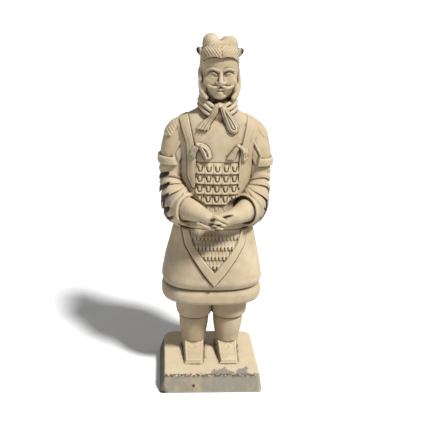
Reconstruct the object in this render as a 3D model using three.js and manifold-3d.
// A souvenir statue of an ancient general in fired clay: a figure in armour and its plinth, in one piece.
// Millimetres, +Z up, the figure faces -Y. The origin is on the underside, below the plinth top's middle.
import * as THREE from "three";
import { mergeVertices } from "three/addons/utils/BufferGeometryUtils.js";
import Module from "manifold-3d";

const wasm = await Module();
wasm.setup();

// Plinth
const PLINTH_WIDTH = 69; // across its top face
const PLINTH_DEPTH = 65.6; // front to back of its top face
const PLINTH_HEIGHT = 14;
const PLINTH_DRAFT = 2.2; // how far each side spreads from the top down to the underside
const PLINTH_RIGHT_LEAN = 1.6; // the side on the figure's right spreads this much more
const PLINTH_FRONT_CORNER = 2.5;
const PLINTH_BACK_CORNER = 8;
const PLINTH_EDGE = 0.9; // worn edge round the top face

// Figure. Its forms are written for DRAWN_HEIGHT and follow FIGURE_HEIGHT as shares of it.
const FIGURE_HEIGHT = 236; // sole to the top of the cap
const DRAWN_HEIGHT = 236;
const FIGURE_SETBACK = 10.5; // the figure's axis stands this far behind the plinth's centre
const SOLE_SINK = 0.6; // how deep the soles are sunk into the plinth, so that the two are one solid

// Relief, as drawn
const STRAP_LIFT = 1.3; // how far the straps stand off the coat
const RIBBON_LIFT = 2.1;
const BOW_LIFT = 2.3;
const BORDER_LIFT = 1.5;
const SCALE_TOP_LIFT = 0.5; // each row of scales rises from this
const SCALE_FOOT_LIFT = 1.4; // to this
const SCALE_LIP = 0.15; // height of the step where one row overhangs the next
const SCALE_GROOVE = 0.5; // gap between the columns of scales
const PANEL_TOP = 150.7;
const PANEL_HALF_WIDTH = 14.9;
const SCALE_HEIGHT = 7.2;
const SCALE_ROWS = 5;
const SCALE_COLUMNS = 5;
const PEG_LIFT = 2.3; // the raised tongue on each scale
const PEG_DROP = 1.4; // from the top of its row
const PEG_LENGTH = 4.6;
const PEG_HALF_WIDTH = 1.5;
const APRON_ROW_HEIGHT = 6.9;
const APRON_ROWS = 5;

// Sleeves: folds that fan out from the crook of the elbow, as drawn
const CROOK_X = 17;
const CROOK_Z = 134;
const CROOK_GAP = 1.5; // the folds start this far from the crook
const ELBOW_ACROSS = 22.3; // from the crook out to the elbow
const ELBOW_DOWN = 33; // and down to its underside
const ELBOW_BACK = 12;
const ELBOW_FRONT = 12.5; // at the top fold
const CUFF_FRONT = 25; // at the lowest fold
const FOLD_TOP = THREE.MathUtils.degToRad(30.6); // direction of the top fold
const FOLD_ANGLE = THREE.MathUtils.degToRad(18.5); // between one fold and the next
const FOLDS = 6;
const FOLD_DEPTH = 1.7;

// Facets round each form
const BODY_SIDES = 26;
const LIMB_SIDES = 12;
const HEAD_SIDES = 16;
const SMALL_SIDES = 6;

// Each section: height, half width, reach to the front, reach to the back, squareness
const COAT = [
  [58.6, 34.6, 25.6, 21.6, 2.7],
  [60.2, 36.8, 27.7, 23.5, 2.7],
  [62, 37.4, 28.3, 24.1, 2.7],
  [76, 35, 27, 22.8, 2.6],
  [92, 31.2, 24.6, 21, 2.5],
  [104, 28.4, 22.8, 19.8, 2.4],
  [118, 26.3, 21.6, 18.7, 2.4],
  [134, 26.2, 20.9, 18.5, 2.5],
  [151, 28, 20.6, 18.5, 2.5],
  [164, 30.5, 19.6, 18, 2.5],
  [172, 31.5, 18, 17.2, 2.4],
  [177, 29.5, 16.2, 16, 2.3],
  [180.5, 25, 14.2, 14.6, 2.2],
  [184, 17.5, 12.4, 13, 2],
  [189, 12.5, 11, 11.5, 2],
];
const TUNIC = [
  [46.3, 35.6, 25.2, 21, 2.7],
  [48, 37, 26.3, 22.1, 2.7],
  [53, 37.1, 26.4, 22.2, 2.7],
  [56, 36.4, 25.7, 21.5, 2.7],
  [58.4, 34.2, 23.6, 19.4, 2.7],
  [60, 33.4, 22.6, 18.4, 2.7],
];
const NECK = [
  [182, 9.6, 9, 9.6, 2],
  [200, 8.8, 8.4, 9, 2],
];
const SKULL = [
  [193.6, 5, 11, 4, 2],
  [195, 8, 14, 7, 2.1],
  [198, 10.6, 15.5, 10, 2.2],
  [204, 12.5, 15.8, 13, 2.2],
  [212, 13.1, 15.1, 14.3, 2.2],
  [225, 12, 13, 13.4, 2.1],
  [229, 9, 9.6, 10, 2],
];
const HAIR = [
  [196.5, 11.6, 6, 12.6, 2.1],
  [199, 13.4, 9, 14.4, 2.2],
  [206, 14.1, 12.4, 15.9, 2.2],
  [216, 13.8, 16, 16.6, 2.2],
  [223, 13.4, 17, 16.4, 2.2],
  [227, 12.6, 15, 14.4, 2.2],
  [229, 9.5, 10, 10, 2],
];
// The scarf wound round the neck. Its heights are those behind; its folds are the steps in its width
const COLLAR = [
  [182, 13.6, 15.6, 13.4, 2],
  [187, 14.2, 17.4, 14.6, 2],
  [187.6, 13.4, 16.4, 13.8, 2],
  [188.4, 14, 17, 14.2, 2],
  [190.2, 14, 16.6, 14.2, 2],
  [190.8, 13.2, 15.6, 13.4, 2],
  [193.6, 13, 14.8, 13.2, 2],
];
const COLLAR_FRONT_DROP = 4.6; // how much lower it lies under the chin
const COLLAR_SLOPE = [1, 12]; // it sinks between these distances in front of the neck

// Upper sleeve sections: height, centre across, half width, reach to the front, reach to the back
const SLEEVE = [
  [134, 29.2, 9.6, 12, 11.6],
  [140, 29.4, 10.2, 12.4, 12],
  [150, 29.5, 10.3, 12.5, 12],
];
// Shoulder guard, a short stiff sleeve, and the thick rim round its foot
const GUARD = [
  [147.2, 28.3, 10.6, 13, 12.6],
  [156, 28.3, 10.8, 13.4, 13],
  [168, 26.1, 10.6, 11.6, 12],
  [172, 25.3, 9.6, 10, 10.6],
  [175.5, 24.6, 7.8, 7.8, 8.6],
  [178.5, 24, 4, 4, 5],
];
const GUARD_SQUARENESS = 2.6;
const GUARD_RIM = [
  [147.4, 28.5, 12.2, 14.6, 14.2],
  [148.2, 28.5, 12.7, 15.1, 14.6],
  [152.2, 28.5, 12.6, 15, 14.6],
  [153, 28.5, 11.9, 14.3, 13.9],
];

// A geometry with its shared vertices merged
const welded = (geometry) => {
  const bare = geometry.clone();
  for (const name of ["normal", "uv"]) bare.deleteAttribute(name);
  return mergeVertices(bare, 1e-4);
};

const solidOf = (geometry) =>
  new wasm.Manifold(
    new wasm.Mesh({
      numProp: 3,
      vertProperties: geometry.attributes.position.array,
      triVerts: new Uint32Array(geometry.index.array),
    }),
  );

const geometryOf = (solid) => {
  const mesh = solid.getMesh();
  const geometry = new THREE.BufferGeometry();
  geometry.setAttribute("position", new THREE.BufferAttribute(mesh.vertProperties, 3));
  geometry.setIndex(new THREE.BufferAttribute(mesh.triVerts, 1));
  return geometry;
};

const joined = (solids) => solids.reduce((a, b) => a.add(b));

// The same solid on the other side of the figure
const mirrored = (solid) => {
  const geometry = geometryOf(solid);
  geometry.scale(-1, 1, 1);
  geometry.index.array.reverse();
  return solidOf(geometry);
};

// The same solid moved across
const shifted = (solid, x) => {
  const geometry = geometryOf(solid);
  geometry.translate(x, 0, 0);
  return solidOf(geometry);
};

// One ring of points: a rounded rectangle between an ellipse (squareness 2) and a box
const ring = (sides, z, halfWidth, front, back, power, cx = 0, cy = 0) =>
  Array.from({ length: sides }, (_, i) => {
    const a = (2 * Math.PI * i) / sides;
    const share = (v) => Math.sign(v) * Math.abs(v) ** (2 / power);
    const reach = Math.sin(a) < 0 ? front : back;
    return new THREE.Vector3(
      cx + halfWidth * share(Math.cos(a)),
      cy + reach * share(Math.sin(a)),
      z,
    );
  });

// A closed skin over a stack of rings, lowest first. Each end is closed round its own tip,
// or else round the middle of its ring.
const skin = (rings, tips = []) => {
  const sides = rings[0].length;
  const points = rings.flat();
  const faces = [];
  for (let r = 0; r + 1 < rings.length; r++)
    for (let i = 0; i < sides; i++) {
      const a = r * sides + i;
      const b = r * sides + ((i + 1) % sides);
      faces.push(a, b, b + sides, a, b + sides, a + sides);
    }
  const middle = (points) =>
    points.reduce((sum, p) => sum.add(p), new THREE.Vector3()).divideScalar(sides);
  const [first, last] = [0, (rings.length - 1) * sides];
  const tip = points.length;
  points.push(tips[0] ?? middle(rings[0]), tips[1] ?? middle(rings[rings.length - 1]));
  for (let i = 0; i < sides; i++) {
    const next = (i + 1) % sides;
    faces.push(tip, first + next, first + i);
    faces.push(tip + 1, last + i, last + next);
  }
  const geometry = new THREE.BufferGeometry().setFromPoints(points);
  geometry.setIndex(faces);
  return solidOf(geometry);
};

// The numbers of a section at any height, straight between the stations
const sectionAt = (stations, z) => {
  const above = stations.findIndex((s) => s[0] >= z);
  if (above === 0) return stations[0];
  if (above < 0) return stations[stations.length - 1];
  const [low, high] = [stations[above - 1], stations[above]];
  const t = (z - low[0]) / (high[0] - low[0]);
  return low.map((v, i) => v + (high[i] - v) * t);
};

const bodyRing = ([z, halfWidth, front, back, power], lift = 0, sides = BODY_SIDES) =>
  ring(sides, z, halfWidth + lift, front + lift, back + lift, power);

const body = (stations, lift = 0, sides = BODY_SIDES) =>
  skin(stations.map((s) => bodyRing(s, lift, sides)));

// A block with the outline [x, z] seen from the front, from y = near to y = far
const block = (outline, near, far) => {
  const shape = new THREE.Shape(outline.map(([x, z]) => new THREE.Vector2(x, z)));
  const geometry = new THREE.ExtrudeGeometry(shape, {
    depth: far - near,
    bevelEnabled: false,
  });
  geometry.rotateX(Math.PI / 2);
  geometry.translate(0, far, 0);
  return solidOf(welded(geometry));
};

const FRONT = [-60, -3];
const BACK = [3, 60];

// A raised shape that follows the coat: the coat's own form, lifted, inside an outline
const relief = (outline, lift, [near, far] = FRONT) =>
  body(COAT, lift).intersect(block(outline, near, far));

// A limb through points, with one radius for each, flattened across by a share, and blunt tips
const limb = (points, radii, sides = SMALL_SIDES, flat = 1) => {
  const curve = new THREE.CatmullRomCurve3(points.map((p) => new THREE.Vector3(...p)));
  const steps = points.length === 2 ? 1 : (points.length - 1) * 2;
  const forward = new THREE.Vector3(0, 1, 0);
  const sectionOf = (s) => {
    const t = s / steps;
    const place = t * (radii.length - 1);
    const low = Math.min(Math.floor(place), radii.length - 2);
    return {
      centre: curve.getPoint(t),
      along: curve.getTangent(t),
      radius: THREE.MathUtils.lerp(radii[low], radii[low + 1], place - low),
    };
  };
  const rings = Array.from({ length: steps + 1 }, (_, s) => {
    const { centre, along, radius } = sectionOf(s);
    const across = new THREE.Vector3().crossVectors(forward, along).normalize();
    const out = new THREE.Vector3().crossVectors(along, across);
    return Array.from({ length: sides }, (_, i) => {
      const a = (2 * Math.PI * i) / sides;
      return centre
        .clone()
        .addScaledVector(across, radius * Math.cos(a))
        .addScaledVector(out, radius * flat * Math.sin(a));
    });
  });
  const tips = [0, steps].map((s) => {
    const { centre, along, radius } = sectionOf(s);
    return centre.addScaledVector(along, (s ? 1 : -1) * radius * 0.5);
  });
  return skin(rings, tips);
};

const ball = ([x, y, z], [rx, ry, rz], sides = 8, tilt = 0) => {
  const geometry = new THREE.SphereGeometry(1, sides, Math.ceil(sides / 2));
  geometry.rotateX(Math.PI / 2);
  geometry.scale(rx, ry, rz);
  geometry.rotateY(tilt);
  geometry.translate(x, y, z);
  return solidOf(welded(geometry));
};

const mirroredOutline = (outline) => outline.map(([x, z]) => [-x, z]).reverse();

// Plinth: a low block with drafted sides, sharper corners in front than behind
const plinth = () => {
  const outline = (spread, lean, z) => {
    const halfWidth = PLINTH_WIDTH / 2 + spread;
    const halfDepth = PLINTH_DEPTH / 2 + spread;
    const corners = [
      [1, 1, PLINTH_BACK_CORNER],
      [-1, 1, PLINTH_BACK_CORNER],
      [-1, -1, PLINTH_FRONT_CORNER],
      [1, -1, PLINTH_FRONT_CORNER],
    ];
    const steps = 6;
    return corners.flatMap(([sx, sy, radius], quarter) =>
      Array.from({ length: steps + 1 }, (_, i) => {
        const a = (Math.PI / 2) * (quarter + i / steps);
        return new THREE.Vector3(
          sx * (halfWidth - radius) + radius * Math.cos(a) - (sx < 0 ? lean : 0),
          sy * (halfDepth - radius) + radius * Math.sin(a),
          z,
        );
      }),
    );
  };
  return skin([
    outline(PLINTH_DRAFT - PLINTH_EDGE, PLINTH_RIGHT_LEAN, 0),
    outline(PLINTH_DRAFT, PLINTH_RIGHT_LEAN, PLINTH_EDGE),
    outline(0, 0, PLINTH_HEIGHT - PLINTH_EDGE),
    outline(-PLINTH_EDGE, 0, PLINTH_HEIGHT),
  ]);
};

const LEG = [
  [-SOLE_SINK, 8.2, 8.6, 8],
  [9, 8.9, 9.4, 8.8],
  [20, 10.8, 11.4, 10.8],
  [32, 11.6, 12.6, 12],
];
const BREECHES = [
  [29.8, 11.4, 12.4, 11.8],
  [31.4, 13.2, 14.6, 13.6],
  [35, 13.9, 15.4, 14.2],
  [52, 14.8, 16.4, 15],
];
const LEG_ACROSS = 13; // from the figure's middle to the middle of each leg
const LEG_AHEAD = 1; // and from the figure's axis to the front
const LEG_SQUARENESS = 2.2;
const FEET_SHIFT = 0.6; // both feet stand a little to the figure's left

// One shape on each side, with the middle between them moved by the shift
const pairAbout = (solid, shift) => shifted(solid.add(mirrored(solid)), shift);

const legs = () => {
  const form = (sections) =>
    skin(
      sections.map(([z, halfWidth, front, back]) =>
        ring(LIMB_SIDES, z, halfWidth, front, back, LEG_SQUARENESS, LEG_ACROSS, -LEG_AHEAD),
      ),
    );
  return pairAbout(joined([form(LEG), form(BREECHES)]), FEET_SHIFT);
};

// From heel to toe: reach forward, half width, height of the upper
const SHOE = [
  [-8.8, 6.5, 7.6],
  [-6, 7.1, 8.2],
  [6, 7.3, 8.2],
  [9, 7.1, 8.2],
  [21, 6.5, 4.9],
  [28.6, 6.1, 3.4],
];
const SHOE_ACROSS = 12.5;
const SHOE_BEVEL = 1.2; // along the upper's top edges
const SHOE_SOLE = 1.4;
const SOLE_OVERHANG = 0.6;

const shoes = () => {
  const profile = (reach, points) =>
    points.map(([x, z]) => new THREE.Vector3(SHOE_ACROSS + x, -reach, z));
  const upper = skin(
    SHOE.map(([reach, halfWidth, height]) =>
      profile(reach, [
        [halfWidth, -SOLE_SINK],
        [halfWidth, height - SHOE_BEVEL],
        [halfWidth - SHOE_BEVEL, height],
        [SHOE_BEVEL - halfWidth, height],
        [-halfWidth, height - SHOE_BEVEL],
        [-halfWidth, -SOLE_SINK],
      ]),
    ),
  );
  const sole = skin(
    SHOE.map(([reach, halfWidth]) =>
      profile(reach, [
        [halfWidth + SOLE_OVERHANG, -SOLE_SINK],
        [halfWidth + SOLE_OVERHANG, SHOE_SOLE],
        [-halfWidth - SOLE_OVERHANG, SHOE_SOLE],
        [-halfWidth - SOLE_OVERHANG, -SOLE_SINK],
      ]),
    ),
  );
  return pairAbout(joined([upper, sole]), FEET_SHIFT);
};

// How far the sleeve reaches from the crook of the elbow, seen from the front, in one direction
const sleeveReach = (angle) =>
  (Math.abs(Math.cos(angle) / ELBOW_ACROSS) ** 3 +
    Math.abs(Math.sin(angle) / ELBOW_DOWN) ** 3) **
  (-1 / 3);

// Elbow and forearm sleeve: a ring in each gap between two folds and one on each fold's crest
const foldedSleeve = () => {
  const rings = [];
  const perFold = 2;
  for (let s = FOLDS * perFold; s >= 0; s--) {
    const angle = FOLD_TOP - (FOLD_ANGLE * s) / perFold;
    const lift = s % perFold === 0 ? -FOLD_DEPTH : FOLD_DEPTH * 0.4;
    const reach = sleeveReach(angle);
    const swell = 1 + lift / reach;
    const lowness = THREE.MathUtils.smoothstep(-angle, -FOLD_TOP, FOLD_TOP * 1.5);
    const front = THREE.MathUtils.lerp(ELBOW_FRONT, CUFF_FRONT, lowness);
    const back = ELBOW_BACK * (1 - 0.3 * Math.sin(angle) ** 2);
    const half = (reach * swell - CROOK_GAP) / 2;
    rings.push(
      ring(LIMB_SIDES, 0, half, front * swell, back * swell, 2.2, CROOK_GAP + half).map(
        (p) =>
          new THREE.Vector3(
            CROOK_X + p.x * Math.cos(angle),
            p.y,
            CROOK_Z + p.x * Math.sin(angle),
          ),
      ),
    );
  }
  return skin(rings);
};

// The forearms' middle lines, from inside the cuff to the hand
const FOREARM_RIGHT = [[-23, -19, 118.6], [-15.6, -27.4, 118.6], [-9.2, -33, 117], [-4.6, -35.4, 115]];
const FOREARM_LEFT = [[23, -19, 118], [15.6, -27.4, 116.9], [9, -32, 116], [3, -33.4, 115]];

const sleeves = () => {
  const upper = skin(
    SLEEVE.map(([z, cx, halfWidth, front, back]) =>
      ring(LIMB_SIDES, z, halfWidth, front, back, 2.1, cx),
    ),
  );
  const cuff = limb([[24, -14, 118], [19.6, -21, 117.7]], [11.4, 11.2], LIMB_SIDES);
  const sleeve = joined([upper, foldedSleeve(), cuff]);
  const right = limb(FOREARM_RIGHT, [8.8, 6.8, 5, 4.2], 8);
  const left = limb(FOREARM_LEFT, [8.6, 6.4, 4.8, 4], 8);
  return joined([sleeve, mirrored(sleeve), right, left]);
};

// The guard leaves the armpit open: its edge runs from the strap down and out
const GUARD_OUTLINE = [
  [17, 186],
  [19.4, 168],
  [21.4, 159],
  [27.6, 147],
  [60, 147],
  [60, 186],
];
// The raised band along that edge
const GUARD_BAND = [
  [19.8, 167],
  [21.4, 159],
  [27.6, 147],
  [28.4, 147],
  [30.8, 155.2],
  [25.4, 164.9],
  [22.6, 170],
];
const BAND_LIFT = 0.7; // over the guard

const guards = () => {
  const form = (sections, lift = 0) =>
    skin(
      sections.map(([z, cx, halfWidth, front, back]) =>
        ring(
          LIMB_SIDES,
          z,
          halfWidth + lift,
          front + lift,
          back + lift,
          GUARD_SQUARENESS,
          cx,
        ),
      ),
    );
  const armpit = block(GUARD_OUTLINE, -60, 60);
  const dome = form(GUARD).intersect(armpit);
  const rim = form(GUARD_RIM).intersect(armpit);
  const band = form(GUARD, BAND_LIFT).intersect(block(GUARD_BAND, ...FRONT));
  const both = joined([dome, rim, band]);
  return joined([both, mirrored(both)]);
};

// Each finger of the upper hand: its middle line and its radii
const FINGERS = [
  [[[-3, -37, 109.7], [-8, -36.8, 111.1], [-12.6, -34.8, 112.6]], [1.8, 1.9, 1.6]],
  [[[-2.9, -36.4, 118], [10.4, -35, 119.8]], [1.7, 1.1]],
  [[[-1.4, -37.8, 117.8], [6.6, -36.4, 114]], [1.8, 1.6]],
  [[[-3, -38, 115.2], [5, -37, 111.8]], [1.7, 1.2]],
  [[[-4, -37.8, 112.4], [3.3, -37, 109.4]], [1.6, 1.1]],
];

const hands = () =>
  joined([
    ball([-5.4, -34.4, 115], [5, 4, 4.9]),
    ball([4.6, -32.8, 114.4], [7.6, 4.2, 4.8]),
    ...FINGERS.map(([points, radii]) => limb(points, radii)),
  ]);

const STRAP = [
  [27.4, 182],
  [21.6, 164],
  [20.4, 152],
  [20.4, 141],
  [16.8, 133],
  [15, 133],
  [15, 152],
  [16.6, 163.4],
  [20.8, 182],
];

const straps = () =>
  joined(
    [STRAP, mirroredOutline(STRAP)].flatMap((outline) => [
      relief(outline, STRAP_LIFT, FRONT),
      relief(outline, STRAP_LIFT, BACK),
    ]),
  );

// Rows of scales, each row standing out at its foot, cut into columns
const scaleRows = (top, height, rows, topLift, footLift) => {
  const rings = [];
  for (let row = rows - 1; row >= 0; row--) {
    const [foot, head] = [top - (row + 1) * height, top - row * height];
    rings.push(bodyRing(sectionAt(COAT, foot + SCALE_LIP), footLift));
    rings.push(bodyRing(sectionAt(COAT, head), topLift));
  }
  return skin(rings);
};

const breastplate = () => {
  const width = (2 * PANEL_HALF_WIDTH) / SCALE_COLUMNS;
  const foot = PANEL_TOP - SCALE_ROWS * SCALE_HEIGHT;
  const columns = [];
  const pegs = [];
  for (let c = 0; c < SCALE_COLUMNS; c++) {
    const left = -PANEL_HALF_WIDTH + c * width + SCALE_GROOVE / 2;
    const right = left + width - SCALE_GROOVE;
    columns.push([
      [left, foot],
      [right, foot],
      [right, PANEL_TOP],
      [left, PANEL_TOP],
    ]);
    for (let row = 0; row < SCALE_ROWS - 1; row++) {
      const x = (left + right) / 2;
      const head = PANEL_TOP - row * SCALE_HEIGHT - PEG_DROP;
      pegs.push([
        [x - PEG_HALF_WIDTH, head],
        [x, head - PEG_LENGTH],
        [x + PEG_HALF_WIDTH, head],
      ]);
    }
  }
  const rows = scaleRows(
    PANEL_TOP,
    SCALE_HEIGHT,
    SCALE_ROWS,
    SCALE_TOP_LIFT,
    SCALE_FOOT_LIFT,
  );
  const front = (outline) => block(outline, ...FRONT);
  const rowsAbove = SCALE_HEIGHT * (SCALE_ROWS - 1);
  const pegBand = body(COAT, PEG_LIFT).intersect(
    block(
      [
        [-20, PANEL_TOP - rowsAbove],
        [20, PANEL_TOP - rowsAbove],
        [20, PANEL_TOP],
        [-20, PANEL_TOP],
      ],
      ...FRONT,
    ),
  );
  return joined([
    ...columns.map((outline) => rows.intersect(front(outline))),
    ...pegs.map((outline) => pegBand.intersect(front(outline))),
  ]);
};

// The armour's pointed apron: a raised border round rows of small scales
const APRON_OUTER = [
  [-23.4, 103],
  [-21, 92],
  [-15.4, 82.6],
  [-7.6, 71.6],
  [0, 62.2],
  [7.6, 71.6],
  [15.4, 82.6],
  [21, 92],
  [23.4, 103],
];
const APRON_INNER = [
  [-18.8, 103],
  [-15.6, 93],
  [-8, 82],
  [0, 72.6],
  [8, 82],
  [15.6, 93],
  [18.8, 103],
];

const apron = () => {
  const inner = block(APRON_INNER, ...FRONT);
  const border = body(COAT, BORDER_LIFT).intersect(
    block(APRON_OUTER, ...FRONT).subtract(inner),
  );
  const rows = scaleRows(104, APRON_ROW_HEIGHT, APRON_ROWS, 0.2, 1);
  return joined([border, rows.intersect(inner)]);
};

// Outlines of the scarf's two tails, and of each bow's pleated end and its loop
const TAIL_LEFT = [
  [-2.4, 190.4],
  [-4.8, 187.2],
  [-7.4, 181.6],
  [-13.6, 176],
  [-15.3, 174],
  [-12.2, 173],
  [-7, 172.9],
  [-5.7, 177.1],
  [-3, 181.1],
  [-0.9, 185],
  [0.3, 190.4],
];
const TAIL_RIGHT = [
  [0.4, 190.4],
  [1, 186.8],
  [3.8, 179.6],
  [6.3, 173.7],
  [9.2, 171.5],
  [12.3, 171.7],
  [13.7, 173.6],
  [13.7, 175.8],
  [10.4, 181.6],
  [6.9, 186.4],
  [4.2, 190.2],
];
const BOW_RIGHT = [
  [-14.3, 165],
  [-16.5, 162.9],
  [-18.9, 160.3],
  [-19.8, 156.5],
  [-18.9, 155],
  [-15.4, 153.7],
  [-14.7, 158],
  [-12.9, 161.2],
  [-11.3, 158.1],
  [-9.8, 154.7],
  [-7.2, 152.8],
  [-5.2, 153.5],
  [-4.3, 155.3],
  [-4.7, 158.8],
  [-6.7, 162.2],
  [-10.9, 164.6],
];
const BOW_LEFT = [
  [13.8, 164.2],
  [11.1, 161.6],
  [8.5, 158.1],
  [5.6, 154.1],
  [8.4, 152.9],
  [11.4, 153],
  [12.8, 158],
  [14.3, 161.4],
  [15.5, 160.3],
  [16.5, 156.9],
  [16.3, 153.1],
  [18.8, 151.3],
  [21.1, 154.1],
  [21.4, 158.1],
  [19.7, 160.9],
  [16.7, 162.8],
];

const collar = () =>
  skin(
    COLLAR.map((section) =>
      bodyRing(section, 0, HEAD_SIDES).map((p) => {
        const frontness = THREE.MathUtils.smoothstep(-p.y, ...COLLAR_SLOPE);
        return new THREE.Vector3(p.x, p.y, p.z - COLLAR_FRONT_DROP * frontness);
      }),
    ),
  );

const scarf = () =>
  joined([
    collar(),
    relief(TAIL_LEFT, RIBBON_LIFT),
    relief(TAIL_RIGHT, RIBBON_LIFT),
    limb([[-1.6, -16, 190.2], [-3.8, -17, 185.6], [-6.4, -18.8, 180]], [1.6, 2.2, 2.4], SMALL_SIDES, 0.6),
    limb([[2, -16, 190.2], [3.8, -17, 185.6], [7.2, -18.8, 179]], [1.6, 2.2, 2.6], SMALL_SIDES, 0.6),
    ball([0.4, -16.6, 189.4], [2.4, 2, 2]),
  ]);

const bows = () =>
  joined([BOW_RIGHT, BOW_LEFT].map((outline) => relief(outline, BOW_LIFT)));

// The cap: a low block that carries a round hump on the figure's right and a squarer one on its left
const CAP = [
  [222, 11.4, 10.4, 11, 2.6],
  [229.4, 11.6, 9.8, 10.4, 2.8],
  [231.2, 10.4, 8.6, 9.2, 2.6],
];
const CAP_KNOB = [
  [222, 5.6, 9, 9.4, 2.6],
  [230.6, 5.9, 9, 9.4, 2.8],
  [232.6, 5.2, 8, 8.4, 2.6],
  [234, 3.2, 6, 6.4, 2.2],
];
const CAP_BEHIND = 1; // its middle lies this far behind the figure's axis
const KNOB_ACROSS = 6;
const HEAD_SHIFT = 0.5; // the head stands a little to the figure's left

const head = () => {
  // The face shows through an arch in the hair
  const window = block(
    [
      [-10.6, 190],
      [10.6, 190],
      [12.3, 199],
      [12.7, 208],
      [11.4, 218.6],
      [7, 220.8],
      [0, 221.6],
      [-7, 220.8],
      [-11.4, 218.6],
      [-12.7, 208],
      [-12.3, 199],
    ],
    -60,
    -3.4,
  );
  const hair = body(HAIR, 0, HEAD_SIDES).subtract(window);
  const capForm = (sections, cx) =>
    skin(
      sections.map(([z, halfWidth, front, back, power]) =>
        ring(LIMB_SIDES, z, halfWidth, front, back, power, cx, CAP_BEHIND),
      ),
    );
  const paired = [
    limb([[11.5, -1, 223.2], [14.6, -1, 225]], [3.4, 1.6]),
    limb([[13.2, -6.5, 210], [13.1, -8.8, 202], [9.2, -12.9, 194.6]], [0.9, 1.5, 1.7]),
    ball([13.4, 1, 209], [1.4, 2.9, 4.3], 6),
    limb([[1.8, -14.9, 212.6], [5.4, -15, 213.8], [9.9, -12.6, 212.2]], [0.9, 1, 0.5], 5),
    ball([5.2, -12.9, 209.5], [2.9, 2, 1.5]),
    limb([[0.8, -15.8, 202.7], [4.2, -15.2, 201.4], [8.6, -11.6, 203.6]], [0.8, 1.2, 0.7]),
  ];
  return shifted(
    joined([
      body(NECK, 0, LIMB_SIDES),
      body(SKULL, 0, HEAD_SIDES),
      hair,
      capForm(CAP, 0),
      capForm(CAP_KNOB, KNOB_ACROSS),
      ball([-6.1, CAP_BEHIND, 229.6], [5.9, 9.2, 6.4], 10),
      ...paired,
      ...paired.map(mirrored),
      limb([[0, -14.4, 212], [0, -16.4, 207.6], [0, -17.4, 205]], [1.1, 1.4, 1.9]),
      ball([0, -15, 200.2], [3.6, 1.4, 0.9]),
      ball([0, -14.8, 198.4], [3, 1.5, 1]),
    ]),
    HEAD_SHIFT,
  );
};

const figure = () => {
  const geometry = geometryOf(
    joined([
      body(COAT),
      body(TUNIC),
      legs(),
      shoes(),
      sleeves(),
      guards(),
      hands(),
      straps(),
      breastplate(),
      apron(),
      scarf(),
      bows(),
      head(),
    ]),
  );
  const share = FIGURE_HEIGHT / DRAWN_HEIGHT;
  geometry.scale(share, share, share);
  geometry.translate(0, FIGURE_SETBACK, PLINTH_HEIGHT);
  return solidOf(geometry);
};

const clay = new THREE.MeshStandardMaterial({
  name: "terracotta",
  color: 0xc9b48d,
  roughness: 0.9,
  metalness: 0,
});

const statue = new THREE.Mesh(geometryOf(joined([plinth(), figure()])), clay);
statue.name = "statue";

const group = new THREE.Group();
group.add(statue);
export default group;
